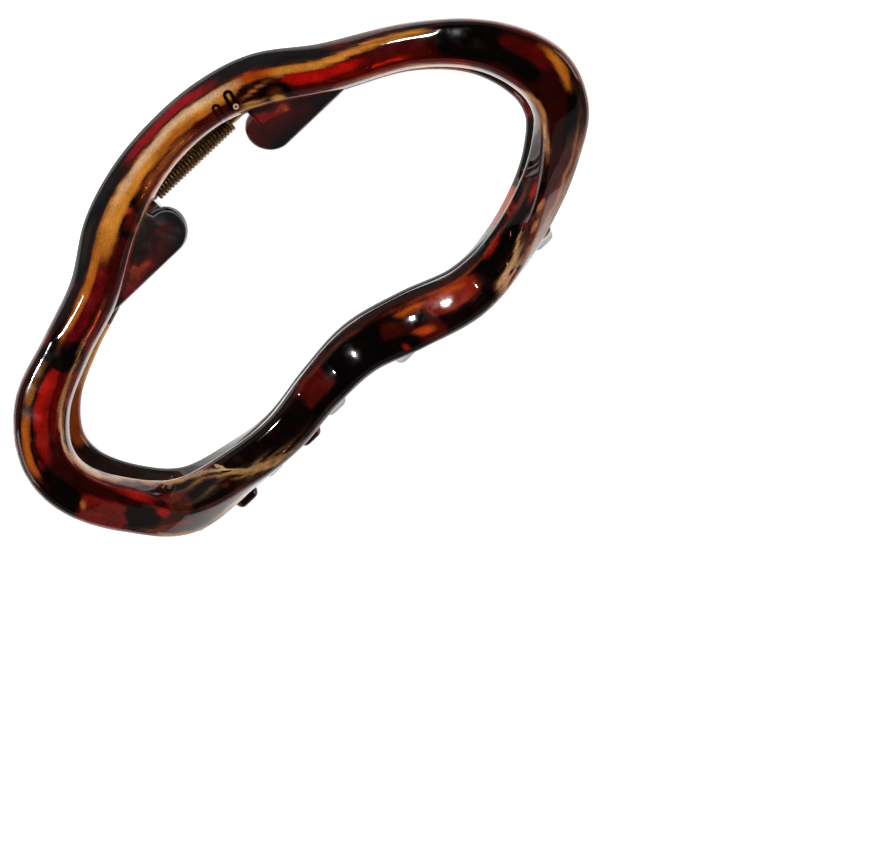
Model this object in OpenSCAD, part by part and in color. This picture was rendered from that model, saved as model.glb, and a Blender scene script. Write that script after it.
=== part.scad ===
// Open-ring claw clip: two moulded ring jaws, a hinge pin and a torsion spring.
// The ring lies flat: +X along the hinge, +Y towards the thumb arch, +Z out of the front jaw.
// Origin: centre of the outline, on the face the back jaw lies on.

/* [Ring] */
// overall length of the ring, along the hinge
clip_w = 110; // [90:1:135]
// overall height of the ring, thumb arch to tooth bar
clip_h = 59; // [48:1:72]
// distance of the side bars from the middle plane
belly_z = 14.2; // [11:0.1:18]
// distance of the tooth bar from the middle plane
tooth_bar_z = 6.6; // [6:0.1:8]
// distance of the thumb arch from the middle plane
arch_z = 8.4; // [7.6:0.1:11]
// thickness of the bar, as a share of the drawn one
bar_k = 1; // [0.85:0.05:1.15]
// edge radius of the bar
edge_r = 1; // [0.5:0.1:1.4]

/* [Teeth] */
// width of a tooth at its root
tooth_w = 5; // [4:0.1:5.6]
// thickness of a tooth at its root
tooth_t = 3.2; // [2.4:0.1:4]
// distance between teeth of one row
tooth_pitch = 14.4; // [13:0.1:16]
// gap between neighbouring teeth of the two rows
tooth_gap = 1.2; // [0.6:0.1:2]
// how far a tooth reaches past the middle plane
tooth_reach = 2.8; // [1:0.1:3.2]
// how far a tooth tip leans outwards
tooth_flare = 2; // [0.5:0.1:2.6]

/* [Hinge] */
// height of the hinge axis above the ring's drawn centre
axis_y = 26.4; // [24:0.1:28]
// diameter of the hinge pin
pin_d = 2; // [1.4:0.1:2.4]
// play of the pin in the front jaw, on the radius
pin_play = 0.04; // [0.01:0.01:0.1]
// overlap of the pin in the back jaw, on the radius
pin_grip = 0.01; // [0:0.01:0.03]
// thickness of one lug
lug_t = 3.2; // [2.4:0.1:4]
// wall of a lug around the pin
lug_wall = 1.6; // [1.2:0.1:2]
// gap between neighbouring lugs
lug_gap = 0.4; // [0.3:0.05:0.8]
// space between the inner lugs
lug_span = 20.8; // [16:0.1:25]
// thickness of a hinge wing
wing_t = 2; // [1.4:0.1:2.6]
// radius of a wing's free end
wing_r = 3.9; // [3:0.1:4.5]

/* [Spring] */
// wire diameter
wire_d = 0.62; // [0.5:0.02:0.8]
// play of the coils on the pin, on the radius
coil_play = 0.24; // [0.1:0.02:0.4]
// length of the coiled part
coil_len = 17; // [12:0.1:20]
// length of each leg
leg_len = 6.8; // [5:0.1:7]

/* [Hidden] */
$fn = 48;

// drawn sizes of the ring, which the control points below belong to
DRAWN_W = 110;
DRAWN_H = 59;
DRAWN_BELLY = 14.2;
DRAWN_TOOTH = 6.6;
DRAWN_ARCH = 8.4;
sx = clip_w / DRAWN_W;
sy = clip_h / DRAWN_H;

// depth of a control point, moved with the three depth sizes
function depth(z) = z >= DRAWN_BELLY ? belly_z
    : z <= DRAWN_TOOTH ? z + tooth_bar_z - DRAWN_TOOTH
    : z + belly_z - DRAWN_BELLY;
function arch_depth(z) = z + arch_z - DRAWN_ARCH;

// control points of the bar, clockwise from the top:
// [x, y, z, width across the front face, thickness, turn of the front face]
ARCH = [
    [-25.3, 21.3, 11.0, 8.2, 4.6, 0], [-16.8, 26.6, 9.4, 8.8, 4.4, 0],
    [-8.6, 29.7, 8.6, 8.2, 4.4, 0], [0, 30.9, 8.4, 7.7, 4.4, 0],
    [8.8, 30.3, 8.4, 7.9, 4.4, 0], [16.9, 27.5, 9.2, 8.6, 4.4, 0],
    [25.7, 21.7, 10.8, 8.0, 4.6, 0]];
SIDES = [
    [37.9, 15.0, 12.8, 7.4, 4.8, 0], [46.4, 7.1, 14.2, 8.3, 5.0, 0],
    [50.3, -1.8, 14.2, 9.7, 5.0, 0], [48.8, -8.6, 12.8, 9.0, 5.2, -8],
    [43.6, -13.2, 10.6, 7.6, 5.6, -26], [36.6, -16.8, 8.6, 6.8, 6.4, -52],
    [27.0, -19.7, 7.2, 6.0, 7.6, -78], [17.6, -20.3, 6.6, 5.6, 8.6, -90],
    [8.0, -17.5, 6.6, 5.6, 9.3, -90], [-1.0, -15.0, 6.6, 5.6, 8.6, -90],
    [-10.0, -15.2, 6.6, 5.6, 7.7, -90], [-19.4, -16.4, 6.6, 5.6, 7.2, -90],
    [-28.8, -15.8, 7.4, 6.4, 7.2, -76], [-38.8, -13.9, 9.2, 8.0, 7.4, -50],
    [-45.2, -7.6, 11.6, 8.4, 5.4, -20], [-49.3, 0.2, 14.2, 8.6, 5.0, 0],
    [-49.0, 7.4, 14.2, 8.8, 5.0, 0], [-43.8, 13.8, 13.4, 9.0, 4.8, 0],
    [-35.0, 17.7, 12.2, 8.0, 4.6, 0]];
CONTROL = [
    for (p = ARCH) [p.x * sx, p.y * sy, arch_depth(p.z), p[3] * bar_k, p[4] * bar_k, p[5]],
    for (p = SIDES) [p.x * sx, p.y * sy, depth(p.z), p[3] * bar_k, p[4] * bar_k, p[5]]];
STEPS = 4;

function wrap(i) = (i + len(CONTROL)) % len(CONTROL);
function spline(a, b, c, d, t) =
    0.5 * (2 * b + (c - a) * t + (2 * a - 5 * b + 4 * c - d) * t * t
    + (3 * b - a - 3 * c + d) * t * t * t);
STATIONS = [for (i = [0:len(CONTROL) - 1]) for (k = [0:STEPS - 1])
    spline(CONTROL[wrap(i - 1)], CONTROL[i], CONTROL[wrap(i + 1)], CONTROL[wrap(i + 2)], k / STEPS)];

// cross-section: a rectangle with rounded edges
function unit(v) = v / norm(v);
function section(w, t) = let (r = edge_r * bar_k) [
    for (q = [0:3]) for (a = [0:30:90])
        [(q == 0 || q == 3 ? 1 : -1) * (w / 2 - r) + r * cos(90 * q + a),
         (q < 2 ? 1 : -1) * (t / 2 - r) + r * sin(90 * q + a)]];
function place_at(i, n) = let (
    here = STATIONS[i], prev = STATIONS[(i + n - 1) % n], next = STATIONS[(i + 1) % n],
    along = unit([next.x - prev.x, next.y - prev.y, next.z - prev.z]),
    out = unit(cross([0, 0, 1], along)), up = cross(along, out), a = here[5])
    [for (p = section(here[3], here[4])) [here.x, here.y, here.z]
        + out * (p.x * cos(a) - p.y * sin(a)) + up * (p.x * sin(a) + p.y * cos(a))];
RING_N = len(STATIONS);
RING = [for (i = [0:RING_N - 1]) each place_at(i, RING_N)];
SECTION_N = len(RING) / RING_N;

// outline of the whole clip, for the origin
ring_x = [for (p = RING) p.x];
ring_y = [for (p = RING) p.y];
ring_z = [for (p = RING) p.z];

// teeth: [x, y of the bar's outer edge, depth where the tooth starts]
FIRST_TOOTH = -39.6;
FRONT_EDGE = [[-18, 8.6], [-19.4, 6.4], [-19, 5.6], [-20.8, 5.6], [-23.6, 5.6], [-22.6, 7.4]];
BACK_EDGE = [[-19.8, 6.8], [-19.6, 5.6], [-17.6, 5.6], [-22, 5.6], [-22.6, 6.2]];
row_shift = tooth_pitch - tooth_w - tooth_gap;
function row(edges, shift) = [for (i = [0:len(edges) - 1])
    [(FIRST_TOOTH + shift + i * tooth_pitch) * sx, edges[i].x * sy, edges[i].y]];
FRONT_TEETH = row(FRONT_EDGE, 0);
BACK_TEETH = row(BACK_EDGE, row_shift);
tooth_inset = 0.3;
tip_share = 0.72;
tip_low = min([for (t = concat(FRONT_TEETH, BACK_TEETH)) t.y]) + tooth_inset - tooth_flare;
shift = [-(min(ring_x) + max(ring_x)) / 2, -(min(tip_low, min(ring_y)) + max(ring_y)) / 2, max(ring_z)];

// hinge layout along X
lug_r = pin_d / 2 + lug_wall;
hinge_mid = 1.4 * sx;
span = lug_span * sx;
inner_left = hinge_mid - span / 2;
inner_right = hinge_mid + span / 2;
lug_step = lug_t + lug_gap;
front_lugs = [inner_left - lug_step - lug_t / 2, inner_right + lug_t / 2];
back_lugs = [inner_left - lug_t / 2, inner_right + lug_step + lug_t / 2];
pin_over = 0.3;
pin_x0 = inner_left - lug_step - lug_t - pin_over;
pin_x1 = inner_right + lug_step + lug_t + pin_over;
hinge_y = axis_y * sy;

// wings: flat plates that lean from the side bars in to the lugs
wing_z = 4.2;
wing_root_x = 27;
wing_base_x = 12;
LEFT_WING = [11.2, 20.5];
RIGHT_WING = [12.7, 20.9];
wing_lean = 18;
wing_slope = atan((depth(11) - wing_z) / ((wing_root_x - wing_base_x) * sx));

// slots for the spring's legs: [x, width]
slot_h = 3.6;
slot_rise = 2;
slot_deep = 1;

// spring
coil_x0 = inner_left + 0.8;
coil_span = coil_len * sx;
coil_pitch = wire_d * 1.04;
coil_turns = floor(coil_span / coil_pitch);
coil_r = pin_d / 2 + wire_d / 2 + coil_play;
WIRE_SIDES = 6;
TURN_STEPS = 14;
leg_tilt = 42;
back_leg_x = coil_x0 + wire_d / 2;
front_leg_x = back_leg_x + (coil_turns - 0.5 - leg_tilt / 180) * coil_pitch;
leg_slot_w = 1.1;
FRONT_SLOTS = [[front_leg_x, leg_slot_w], [front_leg_x + 2.8, 1.5]];
BACK_SLOTS = [[back_leg_x, leg_slot_w]];

module swept(points, n, sides, closed) {
    last = closed ? n - 1 : n - 2;
    walls = [for (i = [0:last]) for (j = [0:sides - 1]) let (
        a = i * sides, b = ((i + 1) % n) * sides, k = (j + 1) % sides)
        each [[a + j, b + j, b + k], [a + j, b + k, a + k]]];
    caps = closed ? [] : [
        [for (j = [0:sides - 1]) j],
        [for (j = [sides - 1:-1:0]) (n - 1) * sides + j]];
    polyhedron(points, concat(walls, caps), convexity = 8);
}

module tooth(x, y, root) {
    reach = root + tooth_reach;
    tip_t = tooth_t * tip_share;
    lean = [for (k = [0:8]) let (s = k / 8) [root - s * (reach - tip_t / 2), -tooth_flare * s * s]];
    tip = lean[8];
    side = concat(
        [for (p = lean) [p.y, p.x]],
        [for (a = [195:15:345]) [tip.y + tip_t / 2 + tip_t / 2 * cos(a), tip.x + tip_t / 2 * sin(a)]],
        [for (k = [8:-1:0]) [lean[k].y + tooth_t + (tip_t - tooth_t) * k / 8, lean[k].x]]);
    tip_r = tooth_w * 0.34;
    half = tooth_w / 2;
    face = concat(
        [[half, root], [-half, root]],
        [for (a = [180:15:270]) [-half * 0.86 + tip_r + tip_r * cos(a), tip_r - tooth_reach + tip_r * sin(a)]],
        [for (a = [270:15:360]) [half * 0.86 - tip_r + tip_r * cos(a), tip_r - tooth_reach + tip_r * sin(a)]]);
    translate([x, y + tooth_inset, 0]) intersection() {
        rotate([90, 0, 90]) translate([0, 0, -tooth_w]) linear_extrude(2 * tooth_w) polygon(side);
        rotate([90, 0, 0]) translate([0, 0, -3 * tooth_t]) linear_extrude(6 * tooth_t) polygon(face);
    }
}

// one wing, drawn for the +X side; end is the middle of its round end
module wing(end) {
    end_x = end.x * sx;
    run = 1 / cos(wing_slope);
    rise = 1 / cos(wing_lean);
    far_x = (wing_root_x * sx - end_x) * run;
    translate([end_x, end.y * sy, wing_z + (end_x - wing_base_x * sx) * tan(wing_slope)])
        rotate([wing_lean, -wing_slope, 0])
            translate([0, 0, -wing_t / 2])
                linear_extrude(wing_t) {
                    circle(wing_r);
                    polygon([[0, -wing_r], [far_x, -wing_r], [far_x + 1.5, 0], [far_x - 6, wing_r],
                        [far_x - 12, 8.4 * rise], [wing_r * 0.7, 8.4 * rise], [0, wing_r]]);
                }
}

module lug(x) {
    translate([x - lug_t / 2, hinge_y, 0]) rotate([90, 0, 90]) linear_extrude(lug_t) {
        circle(lug_r);
        polygon([[-lug_r, 0], [lug_r, 0], [lug_r + 0.6, arch_z], [-lug_r - 1.6, arch_z - 2.4]]);
    }
}

module x_rod(x0, x1, r) {
    translate([x0, hinge_y, 0]) rotate([0, 90, 0]) cylinder(h = x1 - x0, r = r);
}

// slot in the inner face of the thumb arch
module slot(x, w, deep) {
    half_h = slot_h / 2 - w / 2;
    translate([x, hinge_y + slot_rise * sy, arch_z - ARCH[3][4] / 2 * bar_k - 1])
        linear_extrude(1 + deep) {
            square([w, 2 * half_h], center = true);
            for (s = [-1, 1]) translate([0, s * half_h]) circle(w / 2);
        }
}

module jaw(teeth, lugs, bore_r, slots) {
    difference() {
        union() {
            swept(RING, RING_N, SECTION_N, true);
            for (t = teeth) tooth(t.x, t.y, t.z);
            mirror([1, 0, 0]) wing(LEFT_WING);
            wing(RIGHT_WING);
            for (x = lugs) lug(x);
        }
        x_rod(pin_x0 - 1, pin_x1 + 1, bore_r);
        for (s = slots) slot(s.x, s.y, slot_deep);
    }
}

module front_jaw() {
    color([0.42, 0.07, 0.04]) translate(shift) jaw(FRONT_TEETH, front_lugs, pin_d / 2 + pin_play, FRONT_SLOTS);
}

module back_jaw() {
    color([0.36, 0.06, 0.03]) translate(shift)
        mirror([0, 0, 1]) jaw(BACK_TEETH, back_lugs, pin_d / 2 - pin_grip, BACK_SLOTS);
}

module hinge_pin() {
    color([0.62, 0.5, 0.34]) translate(shift) x_rod(pin_x0, pin_x1, pin_d / 2);
}

// wire centre line: back leg, coils, front leg
function coil_at(s) = let (a = 180 + leg_tilt + 360 * s)
    [back_leg_x + s * coil_pitch, hinge_y + coil_r * sin(a), coil_r * cos(a)];
wound = coil_turns - 0.5 - leg_tilt / 180;
wound_steps = round(wound * TURN_STEPS);
LEG_PARTS = 4;
WIRE = concat(
    [for (k = [LEG_PARTS:-1:1]) coil_at(0) + leg_len * k / LEG_PARTS * [0, cos(leg_tilt), -sin(leg_tilt)]],
    [for (i = [0:wound_steps]) coil_at(wound * i / wound_steps)],
    [for (k = [1:LEG_PARTS]) coil_at(wound) + leg_len * k / LEG_PARTS * [0, cos(leg_tilt), sin(leg_tilt)]]);
function wire_dir(i) = unit(WIRE[min(i + 1, len(WIRE) - 1)] - WIRE[max(i - 1, 0)]);
function wire_ring(i) = let (n = unit(cross([1, 0, 0], wire_dir(i))), b = cross(wire_dir(i), n))
    [for (j = [0:WIRE_SIDES - 1]) let (a = 360 * j / WIRE_SIDES)
        WIRE[i] + wire_d / 2 * (n * cos(a) + b * sin(a))];

module torsion_spring() {
    color([0.55, 0.42, 0.26]) translate(shift)
        swept([for (i = [0:len(WIRE) - 1]) each wire_ring(i)], len(WIRE), WIRE_SIDES, false);
}

front_jaw();
back_jaw();
hinge_pin();
torsion_spring();
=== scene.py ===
"""Looks of an open-ring claw clip: two tortoiseshell jaws, a hinge pin and a torsion spring."""

import logging
import math
from dataclasses import dataclass, field
from enum import Enum

import bmesh
import bpy
import numpy as np
from mathutils import Matrix, Vector, kdtree, noise


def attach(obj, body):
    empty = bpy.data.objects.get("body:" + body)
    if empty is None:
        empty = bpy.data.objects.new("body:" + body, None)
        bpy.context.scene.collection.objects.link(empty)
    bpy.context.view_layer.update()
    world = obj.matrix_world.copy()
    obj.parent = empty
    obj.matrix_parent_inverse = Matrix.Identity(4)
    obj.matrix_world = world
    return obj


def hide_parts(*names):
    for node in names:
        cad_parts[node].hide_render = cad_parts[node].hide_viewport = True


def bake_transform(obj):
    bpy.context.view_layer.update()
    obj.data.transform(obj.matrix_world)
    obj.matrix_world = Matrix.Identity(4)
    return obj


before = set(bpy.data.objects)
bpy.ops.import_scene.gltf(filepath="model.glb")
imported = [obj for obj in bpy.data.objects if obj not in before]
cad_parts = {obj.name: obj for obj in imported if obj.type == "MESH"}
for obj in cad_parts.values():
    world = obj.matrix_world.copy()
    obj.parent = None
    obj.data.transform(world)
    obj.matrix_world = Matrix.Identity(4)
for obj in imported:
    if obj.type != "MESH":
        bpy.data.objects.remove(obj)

logging.basicConfig(level=logging.INFO, format="%(message)s")
log = logging.getLogger("claw_clip")

MM = 0.001
# from the drawn centre to the middle of the base, in millimetres
SHIFT = Vector((-0.569, -4.736, 16.978))


class Side(Enum):
    """The two jaws; the value is the sign of the jaw's depth in the drawing."""

    FRONT = 1
    BACK = -1


class Cut(Enum):
    """How one solid is combined with another."""

    JOIN = "UNION"
    CARVE = "DIFFERENCE"


# ---------------------------------------------------------------- colours and nodes


def linear(hex_colour: str) -> tuple[float, float, float, float]:
    """Turns an sRGB hex colour to linear values.

    Args:
        hex_colour: Six hex digits after a hash sign.

    Returns:
        Red, green, blue and an alpha of one.
    """
    values = []
    for k in (1, 3, 5):
        c = int(hex_colour[k : k + 2], 16) / 255
        values.append(c / 12.92 if c <= 0.04045 else ((c + 0.055) / 1.055) ** 2.4)
    return values[0], values[1], values[2], 1.0


def clamp(value: float) -> float:
    """Returns the value, held between 0 and 1."""
    return min(1.0, max(0.0, value))


def add_node(
    tree: bpy.types.NodeTree,
    kind: str,
    settings: dict[str, object] | None = None,
    stops: list[tuple[float, str]] | None = None,
    **inputs: object,
) -> bpy.types.Node:
    """Adds a node with its settings, values and links.

    Args:
        tree: The node tree that the node is added to.
        kind: The node's type name.
        settings: Attributes of the node.
        stops: For a colour ramp, each stop's place from 0 to 1 and sRGB hex colour, in order.
        **inputs: Socket name or number after an underscore, to a value or an output socket.

    Returns:
        The new node.
    """
    node = tree.nodes.new(kind)
    for name, value in (settings or {}).items():
        setattr(node, name, value)
    if stops:
        ramp = node.color_ramp
        while len(ramp.elements) < len(stops):
            ramp.elements.new(0.5)
        for element, (place, colour) in zip(ramp.elements, stops):
            element.position = place
            element.color = linear(colour)
    for name, value in inputs.items():
        key = int(name[1:]) if name[1:].isdigit() else name.replace("_", " ")
        socket = node.inputs[key]
        if isinstance(value, bpy.types.NodeSocket):
            tree.links.new(value, socket)
        else:
            socket.default_value = value
    return node


def new_material(name: str) -> tuple[bpy.types.Material, bpy.types.NodeTree, bpy.types.Node]:
    """Makes a material with an empty Principled shader.

    Args:
        name: The material's name.

    Returns:
        The material, its tree and its Principled node.
    """
    material = bpy.data.materials.new(name)
    material.use_nodes = True
    tree = material.node_tree
    tree.nodes.clear()
    shader = add_node(tree, "ShaderNodeBsdfPrincipled")
    add_node(tree, "ShaderNodeOutputMaterial", Surface=shader.outputs[0])
    return material, tree, shader


# ---------------------------------------------------------------- finishes


@dataclass(frozen=True)
class TortoiseshellAcrylic:
    """Cast cellulose-look acrylic, moulded and polished: clear amber resin with red and black clouds.

    Light goes in, so the amber glows and the black stays deep; the skin is glossy as glass. The streaks drawn
    in from the mesh add painted highlights, painted reflections and painted glow to the clouds.
    """

    name: str
    cloud_mm: float = 7.0
    fray_mm: float = 1.6
    speck_mm: float = 0.28
    seed: float = 0.0
    glow: float = 0.35
    leg_slots: bool = False
    slots_above_mm: float = 23.5

    def make(self) -> bpy.types.Material:
        """Returns the material."""
        material, tree, shader = new_material(self.name)
        place = add_node(tree, "ShaderNodeTexCoord").outputs["Object"]
        # clouds some millimetres wide, stretched a little along the bar
        warp = add_node(
            tree, "ShaderNodeTexNoise", {"noise_dimensions": "4D"}, Vector=place, W=self.seed,
            Scale=1 / (self.cloud_mm * MM), Detail=3.0, Roughness=0.55, Distortion=0.6,
        )
        clouds = add_node(
            tree, "ShaderNodeValToRGB", Fac=warp.outputs["Fac"],
            stops=[
                (0.34, "#0c0303"), (0.46, "#260605"), (0.54, "#4c0a07"), (0.62, "#7d1409"),
                (0.70, "#a8431a"), (0.78, "#d98a38"),
            ],
        )
        # drawn-in streaks from the mesh, with frayed edges: the resin's clouds together with painted
        # highlights, painted reflections and painted glow
        streaks_and_painted_light = add_node(tree, "ShaderNodeAttribute", {"attribute_name": "streaks_and_painted_light"})
        fray = add_node(
            tree, "ShaderNodeTexNoise", {"noise_dimensions": "4D"}, Vector=place, W=self.seed + 3,
            Scale=1 / (self.fray_mm * MM), Detail=3.0, Roughness=0.6,
        )
        pull = add_node(
            tree, "ShaderNodeMath", {"operation": "MULTIPLY_ADD"}, _0=fray.outputs["Fac"], _1=0.7, _2=-0.35
        )
        edge = add_node(
            tree, "ShaderNodeMath", {"operation": "ADD"}, _0=streaks_and_painted_light.outputs["Alpha"], _1=pull.outputs[0]
        )
        cover = add_node(
            tree, "ShaderNodeMapRange", {"interpolation_type": "SMOOTHSTEP"},
            _0=edge.outputs[0], _1=0.38, _2=0.62,
        )
        body = add_node(
            tree, "ShaderNodeMix", {"data_type": "RGBA"}, _0=cover.outputs[0],
            _6=clouds.outputs["Color"], _7=streaks_and_painted_light.outputs["Color"],
        )
        # the leg slots as they show through, drawn as painted shade at their edges with a small painted ring
        # of light
        if self.leg_slots:
            body_colour = self.paint_slot_shade_and_light(tree, place, body.outputs[2])
        else:
            body_colour = body.outputs[2]
        # fine pigment grains and a slow drift of shade
        grain = add_node(
            tree, "ShaderNodeTexNoise", Vector=place, Scale=1 / (self.speck_mm * MM), Detail=2.0
        )
        drift = add_node(
            tree, "ShaderNodeTexNoise", Vector=place, Scale=1 / (2.6 * MM), Detail=2.0
        )
        shade = add_node(
            tree, "ShaderNodeMath", {"operation": "ADD"}, _0=grain.outputs["Fac"], _1=drift.outputs["Fac"]
        )
        gain = add_node(tree, "ShaderNodeMapRange", _0=shade.outputs[0], _1=0.62, _2=1.38, _3=0.6, _4=1.4)
        colour = add_node(
            tree, "ShaderNodeVectorMath", {"operation": "SCALE"}, _0=body_colour, Scale=gain.outputs[0]
        )
        parts = add_node(tree, "ShaderNodeSeparateColor", _0=colour.outputs[0])
        clear = add_node(
            tree, "ShaderNodeMapRange", _0=parts.outputs[0], _1=0.02, _2=0.3, _3=0.85, _4=self.glow
        )
        # moulding ripple and faint handling haze
        ripple = add_node(tree, "ShaderNodeTexNoise", Vector=place, Scale=1 / (4.0 * MM), Detail=1.0)
        bump = add_node(
            tree, "ShaderNodeBump", Strength=0.25, Distance=0.15 * MM, Height=ripple.outputs["Fac"]
        )
        haze = add_node(
            tree, "ShaderNodeMapRange", _0=drift.outputs["Fac"], _1=0.35, _2=0.7, _3=0.03, _4=0.11
        )
        tree.links.new(colour.outputs[0], shader.inputs["Base Color"])
        tree.links.new(clear.outputs[0], shader.inputs["Transmission Weight"])
        tree.links.new(haze.outputs[0], shader.inputs["Roughness"])
        tree.links.new(bump.outputs[0], shader.inputs["Normal"])
        shader.inputs["IOR"].default_value = 1.49
        return material

    def paint_slot_shade_and_light(
        self, tree: bpy.types.NodeTree, place: bpy.types.NodeSocket, under: bpy.types.NodeSocket
    ) -> bpy.types.NodeSocket:
        """Paints the leg slots where they show through the thumb arch from behind: dark outlines of painted
        shade round them and a small pale ring of painted light.

        Args:
            tree: The material's tree.
            place: Object coordinates.
            under: The colour under the outlines.

        Returns:
            The colour with the outlines.
        """
        colour = under
        level = add_node(tree, "ShaderNodeSeparateXYZ", _0=place)
        front = add_node(
            tree, "ShaderNodeMath", {"operation": "GREATER_THAN"},
            _0=level.outputs[2], _1=self.slots_above_mm * MM,
        )
        # middle x, middle y, half length, radius, half line, turn, painted line colour (dark for shade, pale
        # for light), all in millimetres
        for x, y, half, radius, line, turn, painted_colour in (
            # dark outlines of painted shade round the two slots
            (8.4, 27.6, 1.3, 0.5, 0.26, 14, "#3a0c08"),
            (11.3, 28.1, 1.0, 0.55, 0.32, 14, "#1c0604"),
            # a small pale ring of painted light at the end of the second slot
            (11.2, 26.9, 0.0, 0.34, 0.14, 0, "#f8c8a0"),
        ):
            off = add_node(
                tree, "ShaderNodeVectorMath", {"operation": "SUBTRACT"}, _0=place,
                _1=((x + SHIFT.x) * MM, (y + SHIFT.y) * MM, 0.0),
            )
            turned = add_node(
                tree, "ShaderNodeVectorRotate", {"rotation_type": "Z_AXIS"}, Vector=off.outputs[0],
                Angle=math.radians(turn),
            )
            axes = add_node(tree, "ShaderNodeSeparateXYZ", _0=turned.outputs[0])
            size = add_node(tree, "ShaderNodeMath", {"operation": "ABSOLUTE"}, _0=axes.outputs[1])
            past = add_node(
                tree, "ShaderNodeMath", {"operation": "SUBTRACT"}, _0=size.outputs[0], _1=half * MM
            )
            end = add_node(tree, "ShaderNodeMath", {"operation": "MAXIMUM"}, _0=past.outputs[0], _1=0.0)
            flat = add_node(tree, "ShaderNodeCombineXYZ", _0=axes.outputs[0], _1=end.outputs[0])
            reach = add_node(tree, "ShaderNodeVectorMath", {"operation": "LENGTH"}, _0=flat.outputs[0])
            gap = add_node(
                tree, "ShaderNodeMath", {"operation": "SUBTRACT"}, _0=reach.outputs["Value"], _1=radius * MM
            )
            width = add_node(tree, "ShaderNodeMath", {"operation": "ABSOLUTE"}, _0=gap.outputs[0])
            stroke = add_node(
                tree, "ShaderNodeMapRange", {"interpolation_type": "SMOOTHSTEP"}, _0=width.outputs[0],
                _1=line * 0.6 * MM, _2=line * 1.3 * MM, _3=1.0, _4=0.0,
            )
            mask = add_node(
                tree, "ShaderNodeMath", {"operation": "MULTIPLY"}, _0=stroke.outputs[0], _1=front.outputs[0]
            )
            colour = add_node(
                tree, "ShaderNodeMix", {"data_type": "RGBA"}, _0=mask.outputs[0], _6=colour, _7=linear(painted_colour)
            ).outputs[2]
        return colour


@dataclass(frozen=True)
class BronzedWire:
    """Spring steel wire with an antique bronze plating: warm brown, brighter where coils rub."""

    name: str = "antique_bronze_spring_wire"
    dark: str = "#3a2716"
    bright: str = "#a98455"
    draw_mm: float = 0.35

    def make(self) -> bpy.types.Material:
        """Returns the material."""
        material, tree, shader = new_material(self.name)
        place = add_node(tree, "ShaderNodeTexCoord").outputs["Object"]
        patina = add_node(
            tree, "ShaderNodeTexNoise", Vector=place, Scale=1 / (self.draw_mm * MM), Detail=3.0, Roughness=0.6
        )
        tone = add_node(
            tree, "ShaderNodeValToRGB", Fac=patina.outputs["Fac"],
            stops=[(0.32, self.dark), (0.5, "#6e5032"), (0.72, self.bright)],
        )
        rough = add_node(
            tree, "ShaderNodeMapRange", _0=patina.outputs["Fac"], _1=0.3, _2=0.7, _3=0.48, _4=0.26
        )
        bump = add_node(
            tree, "ShaderNodeBump", Strength=0.3, Distance=0.02 * MM, Height=patina.outputs["Fac"]
        )
        tree.links.new(tone.outputs["Color"], shader.inputs["Base Color"])
        tree.links.new(rough.outputs[0], shader.inputs["Roughness"])
        tree.links.new(bump.outputs[0], shader.inputs["Normal"])
        shader.inputs["Metallic"].default_value = 1.0
        return material


@dataclass(frozen=True)
class BrassPin:
    """Turned brass rod, lightly tarnished: yellow-brown metal with fine turning lines round it."""

    name: str = "tarnished_brass_pin"
    line_mm: float = 0.12

    def make(self) -> bpy.types.Material:
        """Returns the material."""
        material, tree, shader = new_material(self.name)
        place = add_node(tree, "ShaderNodeTexCoord").outputs["Object"]
        lines = add_node(
            tree, "ShaderNodeTexWave", {"bands_direction": "X"}, Vector=place,
            Scale=1 / (self.line_mm * MM * 6.283), Distortion=2.0, Detail=2.0,
        )
        tarnish = add_node(
            tree, "ShaderNodeTexNoise", Vector=place, Scale=1 / (1.2 * MM), Detail=4.0, Roughness=0.6
        )
        tone = add_node(
            tree, "ShaderNodeValToRGB", Fac=tarnish.outputs["Fac"],
            stops=[(0.3, "#6b4a24"), (0.5, "#a67a3e"), (0.75, "#c99a55")],
        )
        rough = add_node(
            tree, "ShaderNodeMapRange", _0=tarnish.outputs["Fac"], _1=0.3, _2=0.7, _3=0.42, _4=0.22
        )
        bump = add_node(
            tree, "ShaderNodeBump", Strength=0.2, Distance=0.01 * MM, Height=lines.outputs["Fac"]
        )
        tree.links.new(tone.outputs["Color"], shader.inputs["Base Color"])
        tree.links.new(rough.outputs[0], shader.inputs["Roughness"])
        tree.links.new(bump.outputs[0], shader.inputs["Normal"])
        shader.inputs["Metallic"].default_value = 1.0
        return material


@dataclass(frozen=True)
class PaleSweep:
    """Matt white studio paper, lit so evenly that it reads as plain white."""

    name: str = "matt_white_studio_paper"
    lift: float = 0.9

    def make(self) -> bpy.types.Material:
        """Returns the material."""
        material, tree, shader = new_material(self.name)
        place = add_node(tree, "ShaderNodeTexCoord").outputs["Object"]
        fibre = add_node(tree, "ShaderNodeTexNoise", Vector=place, Scale=1 / (3.0 * MM), Detail=3.0)
        tone = add_node(
            tree, "ShaderNodeValToRGB", Fac=fibre.outputs["Fac"],
            stops=[(0.0, "#f4f4f3"), (1.0, "#fbfbfa")],
        )
        tree.links.new(tone.outputs["Color"], shader.inputs["Base Color"])
        shader.inputs["Roughness"].default_value = 0.9
        shader.inputs["Emission Color"].default_value = (1.0, 1.0, 1.0, 1.0)
        shader.inputs["Emission Strength"].default_value = self.lift
        return material


# ---------------------------------------------------------------- mesh helpers


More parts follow.
